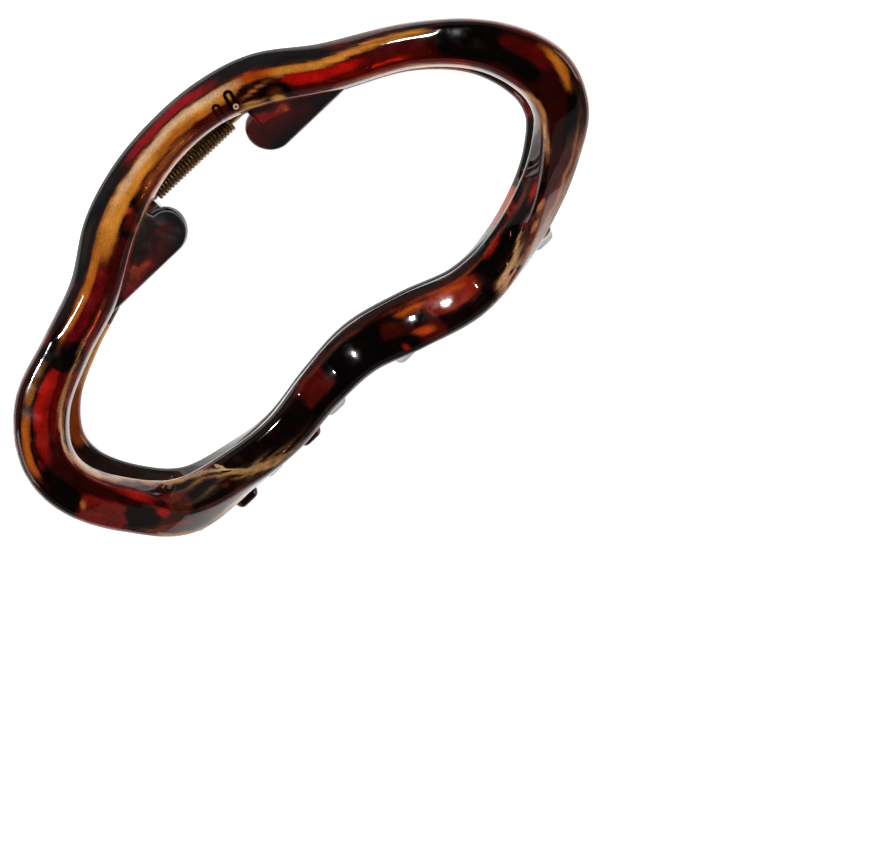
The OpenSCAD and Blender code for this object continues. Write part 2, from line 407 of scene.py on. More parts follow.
def sweep(rings: list[list[Vector]], closed: bool) -> bmesh.types.BMesh:
    """Draws a section along a path by extruding it from ring to ring.

    Args:
        rings: The section's points at each station, in the same order.
        closed: Whether the last ring joins the first; otherwise both ends are capped.

    Returns:
        A closed bmesh with its faces pointing outwards.
    """
    bm = bmesh.new()
    slot = bm.verts.layers.int.new("slot")
    start = bmesh.ops.create_circle(bm, segments=len(rings[0]), radius=1.0)["verts"]
    for j, vert in enumerate(start):
        vert[slot] = j
        vert.co = rings[0][j]
    first = list(bm.edges)
    edges = first
    for ring in rings[1:]:
        made = bmesh.ops.extrude_edge_only(bm, edges=edges)["geom"]
        verts = {v for v in made if isinstance(v, bmesh.types.BMVert)}
        for vert in verts:
            vert.co = ring[vert[slot]]
        edges = [
            e for e in made
            if isinstance(e, bmesh.types.BMEdge) and e.verts[0] in verts and e.verts[1] in verts
        ]
    if closed:
        bmesh.ops.bridge_loops(bm, edges=first + edges)
    else:
        bmesh.ops.contextual_create(bm, geom=first)
        bmesh.ops.contextual_create(bm, geom=edges)
    bmesh.ops.recalc_face_normals(bm, faces=bm.faces)
    return bm


def slab(outline: list[tuple[float, float]], thickness: float, rounding: float) -> bmesh.types.BMesh:
    """Makes a plate with rounded edges from a flat outline.

    Args:
        outline: The corners in XY, in order.
        thickness: The height along Z, from zero up.
        rounding: The radius of the two rims.

    Returns:
        A closed bmesh.
    """
    bm = bmesh.new()
    face = bm.faces.new([bm.verts.new((x, y, 0.0)) for x, y in outline])
    made = bmesh.ops.extrude_face_region(bm, geom=[face])["geom"]
    bmesh.ops.translate(
        bm, verts=[v for v in made if isinstance(v, bmesh.types.BMVert)], vec=(0.0, 0.0, thickness)
    )
    bmesh.ops.recalc_face_normals(bm, faces=bm.faces)
    rims = [e for e in bm.edges if abs(e.verts[0].co.z - e.verts[1].co.z) < 1e-6]
    bmesh.ops.bevel(
        bm, geom=rims, offset=rounding, segments=4, profile=0.5, affect="EDGES", material=-1,
        clamp_overlap=True,
    )
    return bm


def rod(start: Vector, length: float, radius: float, sides: int, chamfer: float = 0.0) -> bmesh.types.BMesh:
    """Makes a round rod along X.

    Args:
        start: The middle of its low end.
        length: Its length along X.
        radius: Its radius.
        sides: How many sides it has.
        chamfer: The size of the chamfer at both ends, or zero.

    Returns:
        A closed bmesh.
    """
    bm = bmesh.new()
    bmesh.ops.create_cone(
        bm, cap_ends=True, segments=sides, radius1=radius, radius2=radius, depth=length,
        matrix=Matrix.Translation(start + Vector((length / 2, 0, 0))) @ Matrix.Rotation(math.pi / 2, 4, "Y"),
    )
    if chamfer > 0:
        ends = [e for e in bm.edges if abs(e.verts[0].co.x - e.verts[1].co.x) < 1e-6]
        bmesh.ops.bevel(
            bm, geom=ends, offset=chamfer, segments=2, profile=0.5, affect="EDGES", material=-1
        )
    bmesh.ops.recalc_face_normals(bm, faces=bm.faces)
    return bm


def make_object(bm: bmesh.types.BMesh, name: str) -> bpy.types.Object:
    """Turns a bmesh into an object at the origin and frees the bmesh.

    Args:
        bm: The shape, with its place in its vertices.
        name: The object's name.

    Returns:
        The linked object.
    """
    mesh = bpy.data.meshes.new(name)
    bm.to_mesh(mesh)
    bm.free()
    obj = bpy.data.objects.new(name, mesh)
    bpy.context.scene.collection.objects.link(obj)
    return obj


def combine(target: bpy.types.Object, tool: bpy.types.Object, cut: Cut) -> None:
    """Joins a solid to another or carves it out, and removes the tool.

    Args:
        target: The object that keeps the result.
        tool: The solid that is added or taken away.
        cut: Which of the two is done.
    """
    modifier = target.modifiers.new("combine", "BOOLEAN")
    modifier.object = tool
    modifier.operation = cut.value
    modifier.solver = "MANIFOLD"
    graph = bpy.context.evaluated_depsgraph_get()
    result = bpy.data.meshes.new_from_object(target.evaluated_get(graph))
    target.modifiers.clear()
    old = target.data
    target.data = result
    bpy.data.meshes.remove(old)
    spare = tool.data
    bpy.data.objects.remove(tool)
    bpy.data.meshes.remove(spare)


def finish_piece(obj: bpy.types.Object, material: bpy.types.Material, crease_deg: float) -> None:
    """Scales a piece from millimetres to metres, smooths its shading and dresses it.

    Args:
        obj: The piece, drawn in millimetres in the row frame.
        material: Its finish.
        crease_deg: Edges sharper than this stay sharp.
    """
    obj.data.transform(Matrix.Scale(MM, 4))
    obj.data.materials.clear()
    obj.data.materials.append(material)
    for polygon in obj.data.polygons:
        polygon.material_index = 0
        polygon.use_smooth = True
    obj.data.set_sharp_from_angle(angle=math.radians(crease_deg))
    # large flat faces keep their own direction, so that mirrors on them stay straight
    even = obj.modifiers.new("even_normals", "WEIGHTED_NORMAL")
    even.keep_sharp = True
    graph = bpy.context.evaluated_depsgraph_get()
    result = bpy.data.meshes.new_from_object(obj.evaluated_get(graph))
    obj.modifiers.clear()
    old = obj.data
    obj.data = result
    bpy.data.meshes.remove(old)


# ---------------------------------------------------------------- ring path and its colouring


@dataclass(frozen=True)
class Station:
    """One place along the bar: its middle, its axes, its section sizes and its turn in radians."""

    middle: Vector
    out: Vector
    up: Vector
    width: float
    thick: float
    turn: float

    @property
    def half(self) -> float:
        """Half of the bar's width as it shows from the front."""
        return abs(math.cos(self.turn)) * self.width / 2 + abs(math.sin(self.turn)) * self.thick / 2

    @property
    def rise(self) -> float:
        """Half of the bar's depth."""
        return abs(math.cos(self.turn)) * self.thick / 2 + abs(math.sin(self.turn)) * self.width / 2


@dataclass
class RingPath:
    """The middle line of a jaw's bar, as knots clockwise from the left of the thumb arch.

    Each knot is x, y, z, width across the front face, thickness and turn in degrees.
    """

    steps: int = 20
    knots: list[tuple[float, ...]] = field(default_factory=lambda: [
        (-25.3, 21.3, 11.0, 8.2, 4.6, 0), (-16.8, 26.6, 9.4, 8.8, 4.4, 0),
        (-8.6, 29.7, 8.6, 8.2, 4.4, 0), (0, 30.9, 8.4, 7.7, 4.4, 0),
        (8.8, 30.3, 8.4, 7.9, 4.4, 0), (16.9, 27.5, 9.2, 8.6, 4.4, 0),
        (25.7, 21.7, 10.8, 8.0, 4.6, 0),
        (37.9, 15.0, 12.8, 7.4, 4.8, 0), (46.4, 7.1, 14.2, 8.3, 5.0, 0),
        (50.3, -1.8, 14.2, 9.7, 5.0, 0), (48.8, -8.6, 12.8, 9.0, 5.2, -8),
        (43.6, -13.2, 10.6, 7.6, 5.6, -26), (36.6, -16.8, 8.6, 6.8, 6.4, -52),
        (27.0, -19.7, 7.2, 6.0, 7.6, -78), (17.6, -20.3, 6.6, 5.6, 8.6, -90),
        (8.0, -17.5, 6.6, 5.6, 9.3, -90), (-1.0, -15.0, 6.6, 5.6, 8.6, -90),
        (-10.0, -15.2, 6.6, 5.6, 7.7, -90), (-19.4, -16.4, 6.6, 5.6, 7.2, -90),
        (-28.8, -15.8, 7.4, 6.4, 7.2, -76), (-38.8, -13.9, 9.2, 8.0, 7.4, -50),
        (-45.2, -7.6, 11.6, 8.4, 5.4, -20), (-49.3, 0.2, 14.2, 8.6, 5.0, 0),
        (-49.0, 7.4, 14.2, 8.8, 5.0, 0), (-43.8, 13.8, 13.4, 9.0, 4.8, 0),
        (-35.0, 17.7, 12.2, 8.0, 4.6, 0),
    ])

    def values(self, place: float) -> np.ndarray:
        """Knot values at a place along the bar, counted in knots, on a Catmull-Rom curve."""
        i = math.floor(place)
        t = place - i
        a, b, c, d = (np.array(self.knots[(i + k) % len(self.knots)], float) for k in (-1, 0, 1, 2))
        return 0.5 * (
            2 * b + (c - a) * t + (2 * a - 5 * b + 4 * c - d) * t * t + (3 * b - a - 3 * c + d) * t**3
        )

    def station(self, place: float) -> Station:
        """The station at a place along the bar, counted in knots."""
        v = self.values(place)
        along = Vector((self.values(place + 0.1) - self.values(place - 0.1))[:3]).normalized()
        out = Vector((0, 0, 1)).cross(along).normalized()
        return Station(Vector(v[:3]), out, along.cross(out), v[3], v[4], math.radians(v[5]))

    def stations(self) -> list[Station]:
        """All stations round the ring."""
        return [self.station(i / self.steps) for i in range(len(self.knots) * self.steps)]


@dataclass(frozen=True)
class Streak:
    """A streak of colour along the bar.

    Places count in knots; across runs from -1 at the inner edge to 1 at the outer edge.
    """

    colour: str
    start: float
    end: float
    across: tuple[float, float]
    half: tuple[float, float]
    blunt: float = 3.0
    soft: float = 0.12
    strength: float = 1.0


@dataclass(frozen=True)
class Spot:
    """A round or oval patch of colour at a place in the drawing, in millimetres."""

    colour: str
    x: float
    y: float
    long: float
    short: float
    turn: float = 0.0
    soft: float = 0.3
    strength: float = 1.0


@dataclass
class Colouring:
    """The streaks of one jaw and the spots on its wings, laid over each other in order."""

    streaks: list[Streak]
    spots: list[Spot]
    all_round: bool = False
    wander_mm: float = 5.0

    def paint(self, obj: bpy.types.Object, path: RingPath, side: Side) -> None:
        """Writes the colour and cover of each vertex, clouds and painted light alike, to the mesh's
        streaks_and_painted_light attribute.

        Args:
            obj: The jaw, in millimetres in the row frame.
            path: The bar's middle line.
            side: Which jaw it is.
        """
        stations = path.stations()
        tree = kdtree.KDTree(len(stations))
        for i, s in enumerate(stations):
            tree.insert(s.middle, i)
        tree.balance()
        mesh = obj.data
        count = len(mesh.vertices)
        place = np.zeros(count)
        across = np.zeros(count)
        level = np.zeros(count)
        points = np.zeros((count, 3))
        for k, vert in enumerate(mesh.vertices):
            p = vert.co - SHIFT
            p.z *= side.value
            _, i, _ = tree.find(p)
            s = stations[i]
            off = p - s.middle
            place[k] = i / path.steps
            across[k] = off.dot(s.out) / s.half
            level[k] = off.z / s.rise
            points[k] = p
        drift = np.array([noise.noise_vector(Vector(p) / self.wander_mm) for p in points])
        flick = np.array([noise.noise_vector(Vector(p) / (self.wander_mm * 0.3)) for p in points])
        place = place + 0.16 * drift[:, 0] + 0.05 * flick[:, 0]
        across = across + (0.09 * drift[:, 1] + 0.04 * flick[:, 1]) * (np.abs(across) < 1.02)
        colour = np.zeros((count, 3))
        cover = np.zeros(count)
        faced = np.ones(count) if self.all_round else np.clip((level + 0.55) / 0.3, 0, 1)
        on_wing = np.clip((-1.04 - across) / 0.03, 0, 1)
        ring = len(path.knots)
        for streak in self.streaks:
            span = streak.end - streak.start
            # signed share along the streak, -1 at its start and 1 at its end
            u = np.mod(place - streak.start - span / 2 + ring / 2, ring) - ring / 2
            u = u / (span / 2)
            share = np.clip((u + 1) / 2, 0, 1)
            middle = streak.across[0] + (streak.across[1] - streak.across[0]) * share
            half = streak.half[0] + (streak.half[1] - streak.half[0]) * share
            b = streak.blunt
            lengthwise = np.minimum(np.abs(u), 3) ** b
            sideways = np.minimum(np.abs(across - middle) / half, 3) ** b
            reach = (lengthwise + sideways) ** (1 / b)
            mask = np.clip((1 - reach) * half / streak.soft + 0.5, 0, 1) * faced
            self._lay(colour, cover, mask * mask * (3 - 2 * mask) * streak.strength, streak.colour)
        for spot in self.spots:
            c, s = math.cos(math.radians(spot.turn)), math.sin(math.radians(spot.turn))
            dx, dy = points[:, 0] - spot.x, points[:, 1] - spot.y
            reach = np.hypot((dx * c + dy * s) / spot.long, (-dx * s + dy * c) / spot.short)
            mask = np.clip((1 - reach) / spot.soft + 0.5, 0, 1) * on_wing
            self._lay(colour, cover, mask * spot.strength, spot.colour)
        layer = mesh.attributes.new("streaks_and_painted_light", "FLOAT_COLOR", "POINT")
        layer.data.foreach_set("color", np.column_stack([colour, cover]).astype(np.float32).ravel())

    @staticmethod
    def _lay(colour: np.ndarray, cover: np.ndarray, mask: np.ndarray, hex_colour: str) -> None:
        """Lays one colour over what is there, where the mask says."""
        tint = np.array(linear(hex_colour)[:3])
        fresh = cover < 0.02
        colour[fresh] = tint
        colour += (tint - colour) * mask[:, None]
        np.maximum(cover, mask, out=cover)


# ---------------------------------------------------------------- the jaws


@dataclass
class Jaw:
    """One ring jaw: bar, teeth, hinge wings and lugs, carved for the pin and the spring's legs."""

    side: Side
    path: RingPath
    teeth: list[tuple[float, float, float]]
    lugs: tuple[float, float]
    bore_r: float
    slots: list[tuple[float, float]]
    marks: list[tuple[float, float]]
    axis_y: float = 26.4
    arch_z: float = 8.4
    tooth_w: float = 5.0
    tooth_t: float = 3.2
    tooth_reach: float = 2.8
    tooth_flare: float = 2.0
    tip_share: float = 0.72
    lug_t: float = 3.2
    lug_r: float = 2.6
    wing_t: float = 2.0
    wing_r: float = 3.9
    wing_z: float = 4.2
    wing_base_x: float = 12.0
    wing_root_x: float = 27.0
    wing_lean: float = 18.0
    edge_r: float = 1.0
    # the shoulder of the thumb arch: how far it drops, and where it starts across the face
    shoulder_drop: float = 1.5
    shoulder_start: float = 0.34
    # the swellings of the tooth bar: half their height, the knot of one, and the knots between them
    swell: float = 0.45
    swell_knot: float = 16.15
    swell_pitch: float = 1.98
    # pieces that each flat side of the outline is cut into
    side_steps: int = 13
    tooth_round: float = 1.45
    crease_deg: float = 24

    @property
    def wing_slope(self) -> float:
        """How steeply the wings climb to the side bars, in radians."""
        return math.atan((11.0 - self.wing_z) / (self.wing_root_x - self.wing_base_x))

    def section(self, s: Station, slope: float, ridge: float, dip: float) -> list[Vector]:
        """The bar's outline at a station: a rounded bar with crowned faces and a sloped outer shoulder.

        Args:
            s: The station.
            slope: How far the shoulder drops at the outer edge of the front face.
            ridge: One where the front of the tooth bar is crowned and leans inwards, zero elsewhere.
            dip: Depth below the top of the nearest swelling of the tooth bar.

        Returns:
            The outline's points in the drawing.
        """
        hw, ht = s.width / 2, s.thick / 2
        turned = abs(s.turn) / (math.pi / 2)
        r = self.edge_r * (1 + 0.5 * turned)
        crown_face = 0.2
        crown_side = 0.3 * (1 - turned) + (0.15 + 0.3 * ridge) * turned
        flat: list[tuple[float, float]] = []
        for q in range(4):
            cx = (hw - r) * (1 if q in (0, 3) else -1)
            cy = (ht - r) * (1 if q in (0, 1) else -1)
            for k in range(6):
                a = math.radians(90 * q + 18 * k)
                flat.append((cx + r * math.cos(a), cy + r * math.sin(a)))
            end = flat[-1]
            a = math.radians(90 * (q + 1))
            nx = (hw - r) * (1 if (q + 1) % 4 in (0, 3) else -1) + r * math.cos(a)
            ny = (ht - r) * (1 if (q + 1) % 4 in (0, 1) else -1) + r * math.sin(a)
            n = self.side_steps
            for k in range(1, n):
                flat.append((end[0] + (nx - end[0]) * k / n, end[1] + (ny - end[1]) * k / n))
        c, n = math.cos(s.turn), math.sin(s.turn)
        points = []
        for x, y in flat:
            py = y - math.copysign(abs(y) / ht * crown_face * (x / hw) ** 2, y)
            # the walls draft inwards towards the front; the tooth bar's front is crowned off centre
            apex = -0.5 * (1 - turned) + ((0.2 + 0.7 * ridge) * turned if x < 0 else 0.0)
            px = x - math.copysign(abs(x) / hw * crown_side * (y / ht - apex) ** 2, x)
            if x < 0:
                px += dip * turned * -x / hw
            bend = self.shoulder_start * hw
            if slope > 0 and y > 0 and abs(px - bend) < (hw - r) / self.side_steps:
                px = bend
            if slope > 0 and px > bend and y > 0:
                py -= slope * (px - bend) / (hw - bend) * (y / ht)
            points.append(s.middle + s.out * (px * c - py * n) + s.up * (px * n + py * c))
        return points

    def bar(self) -> bpy.types.Object:
        """Builds the ring's bar."""
        ring = len(self.path.knots)
        rings = []
        for i, s in enumerate(self.path.stations()):
            # the shoulder of the thumb arch slopes away from knot 25 round to knot 7
            place = (i / self.path.steps + 1.0) % ring
            slope = self.shoulder_drop * clamp(place) * clamp(8.4 - place)
            # the middle of the tooth bar is crowned and has two low swellings
            place = i / self.path.steps
            ridge = clamp((place - 13.1) / 0.7) * clamp((17.3 - place) / 0.7)
            wave = math.cos((place - self.swell_knot) * math.tau / self.swell_pitch)
            dip = self.swell * ridge * (1 - wave)
            rings.append(self.section(s, slope, ridge, dip))
        return make_object(sweep(rings, closed=True), "bar")

    def tooth(self, x: float, y: float, root: float) -> bpy.types.Object:
        """Builds one tooth, from inside the bar down past the middle plane.

        Args:
            x: Its middle along the bar.
            y: The bar's outer edge there.
            root: The depth where it starts.

        Returns:
            The tooth's object.
        """
        reach = root + self.tooth_reach
        bm = bmesh.new()
        bmesh.ops.create_cube(bm, size=1.0)
        bmesh.ops.scale(bm, verts=bm.verts, vec=(self.tooth_w, self.tooth_t, reach))
        tips = [e for e in bm.edges if e.verts[0].co.z < 0 and e.verts[1].co.z < 0]
        uprights = [e for e in bm.edges if abs(e.verts[0].co.z - e.verts[1].co.z) > 0.1]
        bmesh.ops.bevel(
            bm, geom=tips + uprights, offset=self.tooth_round, segments=6, profile=0.5,
            affect="EDGES", material=-1,
        )
        walls = [e for e in bm.edges if abs(e.verts[0].co.z - e.verts[1].co.z) > reach * 0.5]
        bmesh.ops.subdivide_edges(bm, edges=walls, cuts=8, use_grid_fill=True)
        for vert in bm.verts:
            s = 0.5 - vert.co.z / reach
            share = vert.co.y / self.tooth_t + 0.5
            thick = self.tooth_t * (1 + (self.tip_share - 1) * s)
            vert.co = Vector((
                x + vert.co.x * (1 - 0.14 * s),
                y + 0.3 - self.tooth_flare * s * s + share * thick,
                root - s * reach,
            ))
        return make_object(bm, "tooth")

    def wing(self, end_x: float, end_y: float, hand: int) -> bpy.types.Object:
        """Builds one hinge wing, a flat plate that leans from the side bar in to the lugs.

        Args:
            end_x: Middle of its round end, away from the clip's middle.
            end_y: Middle of its round end along Y.
            hand: 1 for the right wing, -1 for the left.

        Returns:
            The wing's object.
        """
        r = self.wing_r
        slope = self.wing_slope
        rise = 1 / math.cos(math.radians(self.wing_lean))
        far = (self.wing_root_x - end_x) / math.cos(slope)
        arc = [(r * math.cos(a), r * math.sin(a)) for a in (math.radians(90 + 9 * k) for k in range(21))]
        outline = arc + [
            (far, -r), (far + 1.5, 0), (far - 6, r), (far - 12, 8.4 * rise), (r * 0.7, 8.4 * rise),
        ]
        bm = slab(outline, self.wing_t, 0.75)
        place = Matrix.Translation(
            (end_x, end_y, self.wing_z + (end_x - self.wing_base_x) * math.tan(slope))
        )
        tilt = Matrix.Rotation(-slope, 4, "Y") @ Matrix.Rotation(math.radians(self.wing_lean), 4, "X")
        sink = Matrix.Translation((0, 0, -self.wing_t / 2))
        bmesh.ops.transform(
            bm, verts=bm.verts, matrix=Matrix.Scale(hand, 4, (1, 0, 0)) @ place @ tilt @ sink
        )
        bmesh.ops.recalc_face_normals(bm, faces=bm.faces)
        return make_object(bm, "wing")

    def lug(self, x: float) -> bpy.types.Object:
        """Builds one hinge lug round the pin, hung from the thumb arch, with its middle at x."""
        r = self.lug_r
        arc = [(r * math.cos(a), r * math.sin(a)) for a in (math.radians(180 + 10 * k) for k in range(19))]
        outline = arc + [(r + 0.6, self.arch_z), (-r - 1.6, self.arch_z - 2.4)]
        bm = slab(outline, self.lug_t, 0.3)
        turn = Matrix(((0, 0, 1, 0), (1, 0, 0, 0), (0, 1, 0, 0), (0, 0, 0, 1)))
        bmesh.ops.transform(
            bm, verts=bm.verts, matrix=Matrix.Translation((x - self.lug_t / 2, self.axis_y, 0)) @ turn
        )
        return make_object(bm, "lug")

    def slot_tool(self, x: float, width: float) -> bpy.types.Object:
        """Builds the solid that cuts one leg slot in the inner face of the thumb arch."""
        r = width / 2
        straight = 1.8 - r
        turns = (math.radians(18 * k) for k in range(11))
        outline = [(r * math.cos(a), straight + r * math.sin(a)) for a in turns]
        outline += [(-px, -py) for px, py in outline]
        bm = bmesh.new()
        face = bm.faces.new([bm.verts.new((px, py, 0.0)) for px, py in outline])
        made = bmesh.ops.extrude_face_region(bm, geom=[face])["geom"]
        bmesh.ops.translate(bm, verts=[v for v in made if isinstance(v, bmesh.types.BMVert)], vec=(0, 0, 2.0))
        bmesh.ops.recalc_face_normals(bm, faces=bm.faces)
        bmesh.ops.translate(bm, verts=bm.verts, vec=(x, self.axis_y + 2, self.arch_z - 3.2))
        return make_object(bm, "slot")

    def mark_tool(self, place: float, across: float) -> bpy.types.Object:
        """Builds the shallow round solid that cuts one ejector mark in the front face."""
        s = self.path.station(place)
        bm = bmesh.new()
        bmesh.ops.create_cone(bm, cap_ends=True, segments=24, radius1=0.55, radius2=0.65, depth=0.5)
        top = s.middle + s.out * (across * s.half) + Vector((0, 0, s.rise))
        bmesh.ops.translate(bm, verts=bm.verts, vec=top)
        return make_object(bm, "mark")

    def build(self, name: str, material: bpy.types.Material, colouring: Colouring) -> bpy.types.Object:
        """Builds, colours and dresses the jaw.

        Args:
            name: The piece's name.
            material: Its finish.
            colouring: Its streaks and spots.

        Returns:
            The finished piece.
        """
        jaw = self.bar()
        solids = [self.tooth(*t) for t in self.teeth]
        solids += [self.wing(12.7, 20.9, 1), self.wing(11.2, 20.5, -1)]
        solids += [self.lug(x) for x in self.lugs]
        for solid in solids:
            combine(jaw, solid, Cut.JOIN)
        tools = [make_object(rod(Vector((-18, self.axis_y, 0)), 38, self.bore_r, 48), "bore")]
        tools += [self.slot_tool(x, w) for x, w in self.slots]
        tools += [self.mark_tool(p, a) for p, a in self.marks]
        for tool in tools:
            combine(jaw, tool, Cut.CARVE)
        if self.side is Side.BACK:
            jaw.data.transform(Matrix.Scale(-1, 4, (0, 0, 1)))
            jaw.data.flip_normals()
        jaw.data.transform(Matrix.Translation(SHIFT))
        colouring.paint(jaw, self.path, self.side)
        jaw.name = name
        finish_piece(jaw, material, self.crease_deg)
        log.info("%s: %d faces", name, len(jaw.data.polygons))
        return jaw


@dataclass
class Hinge:
    """The pin and the torsion spring wound round it."""

    axis_y: float = 26.4
    pin_d: float = 2.0
    pin_x: tuple[float, float] = (-16.1, 18.9)
    wire_d: float = 0.62
    coil_r: float = 1.55
    pitch: float = 0.645
    start_x: float = -7.89
    turns: float = 25.27
    leg_len: float = 6.8
    tilt: float = 42.0

    def pin(self, material: bpy.types.Material) -> bpy.types.Object:
        """Builds the chamfered pin."""
        left, right = self.pin_x
        bm = rod(Vector((left, self.axis_y, 0)) + SHIFT, right - left, self.pin_d / 2, 48, 0.15)
        piece = make_object(bm, "hinge_pin_rod")
        finish_piece(piece, material, 50)
        log.info("pin: %d faces", len(piece.data.polygons))
        return piece

    def wire_line(self) -> list[Vector]:
        """The wire's middle line: back leg, coils, front leg."""
        def coil(s: float) -> Vector:
            a = math.radians(180 + self.tilt + 360 * s)
            y, z = self.coil_r * math.sin(a), self.coil_r * math.cos(a)
            return Vector((self.start_x + s * self.pitch, self.axis_y + y, z))

        c, n = math.cos(math.radians(self.tilt)), math.sin(math.radians(self.tilt))
        steps = round(self.turns * 28)
        line = [coil(0) + Vector((0, c, -n)) * self.leg_len * k / 8 for k in range(8, 0, -1)]
        line += [coil(self.turns * i / steps) for i in range(steps + 1)]
        line += [coil(self.turns) + Vector((0, c, n)) * self.leg_len * k / 8 for k in range(1, 9)]
        return line

    def spring(self, material: bpy.types.Material) -> bpy.types.Object:
        """Builds the torsion spring from round wire."""
        line = self.wire_line()
        rings = []
        for i, point in enumerate(line):
            along = (line[min(i + 1, len(line) - 1)] - line[max(i - 1, 0)]).normalized()
            n = Vector((1, 0, 0)).cross(along).normalized()
            b = along.cross(n)
            rings.append([
                point + SHIFT + (n * math.cos(a) + b * math.sin(a)) * self.wire_d / 2
                for a in (math.tau * j / 12 for j in range(12))
            ])
        piece = make_object(sweep(rings, closed=False), "torsion_spring_wire")
        finish_piece(piece, material, 60)
        log.info("spring: %d faces", len(piece.data.polygons))
        return piece


# ---------------------------------------------------------------- studio


@dataclass
class Studio:
    """Floor, soft light, dark ceiling and camera."""

    camera_at: Vector = Vector((18.65, 9.21, 577.64))
    camera_to: Vector = Vector((-1.31, -39.53, 17.0))
    camera_lean_deg: float = 43.5
    camera_roll: float = 0.0032
    lens: float = 139.0
    room_light: float = 0.2

    def floor(self) -> None:
        """Builds the pale floor that the clip lies on."""
        bm = bmesh.new()
        bmesh.ops.create_grid(bm, x_segments=1, y_segments=1, size=3.0)
        bmesh.ops.translate(bm, verts=bm.verts, vec=(0, 0, -0.0004))
        floor = make_object(bm, "floor")
        floor.data.materials.append(PaleSweep().make())

    def flag(self) -> None:
        """Hangs a black card over the table, so that the clip's upper faces mirror a dark ceiling."""
        bm = bmesh.new()
        bmesh.ops.create_grid(bm, x_segments=1, y_segments=1, size=0.75)
        bmesh.ops.translate(bm, verts=bm.verts, vec=(0, 0, 0.95))
        card = make_object(bm, "black_card")
        material, _, shader = new_material("black_studio_card")
        shader.inputs["Base Color"].default_value = linear("#050505")
        shader.inputs["Roughness"].default_value = 0.95
        card.data.materials.append(material)

    def light(self, name: str, at: Vector, size: float, watts: float) -> None:
        """Adds one square white softbox that faces the clip.

        Args:
            name: The light's name.
            at: Its place, in metres.
            size: Its side, in metres.
            watts: Its power.
        """
        data = bpy.data.lights.new(name, "AREA")
        data.size = size
        data.energy = watts
        lamp = bpy.data.objects.new(name, data)
        lamp.location = at
        lamp.rotation_euler = (Vector((0, 0, 0.015)) - at).to_track_quat("-Z", "Y").to_euler()
        bpy.context.scene.collection.objects.link(lamp)

    def world(self) -> None:
        """Fills the room with even white light."""
        world = bpy.data.worlds.new("white_room")
        world.use_nodes = True
        background = world.node_tree.nodes["Background"]
        background.inputs["Color"].default_value = (1.0, 1.0, 1.0, 1.0)
        background.inputs["Strength"].default_value = self.room_light
        bpy.context.scene.world = world

    def camera(self) -> None:
        """Sets the camera nearly straight above the clip, turned so that the clip lies on a slant."""
        back = (self.camera_at - self.camera_to).normalized()
        lean = math.radians(self.camera_lean_deg)
        right = Vector((math.sin(lean), math.cos(lean), 0)).cross(back).normalized()
        up = back.cross(right)
        c, n = math.cos(self.camera_roll), math.sin(self.camera_roll)
        r = right * c + up * n
        u = up * c - right * n
        data = bpy.data.cameras.new("camera")
        data.lens = self.lens
        data.sensor_width = 36.0
        data.clip_start, data.clip_end = 0.01, 10.0
        camera = bpy.data.objects.new("camera", data)
        turn = Matrix((r, u, back)).transposed().to_4x4()
        camera.matrix_world = Matrix.Translation(self.camera_at * MM) @ turn
        bpy.context.scene.collection.objects.link(camera)
        bpy.context.scene.camera = camera

    def build(self) -> None:
        """Builds the whole studio."""
        self.floor()
        self.flag()
        self.world()
        self.light("key_lamp", Vector((-0.015, 0.19, 0.57)), 0.022, 2.0)
        self.light("left_softbox", Vector((-0.55, 0.25, 0.35)), 0.35, 1.1)
        self.light("right_softbox", Vector((0.55, -0.2, 0.35)), 0.35, 1.1)
        self.camera()
        bpy.context.scene.view_settings.view_transform = "Standard"


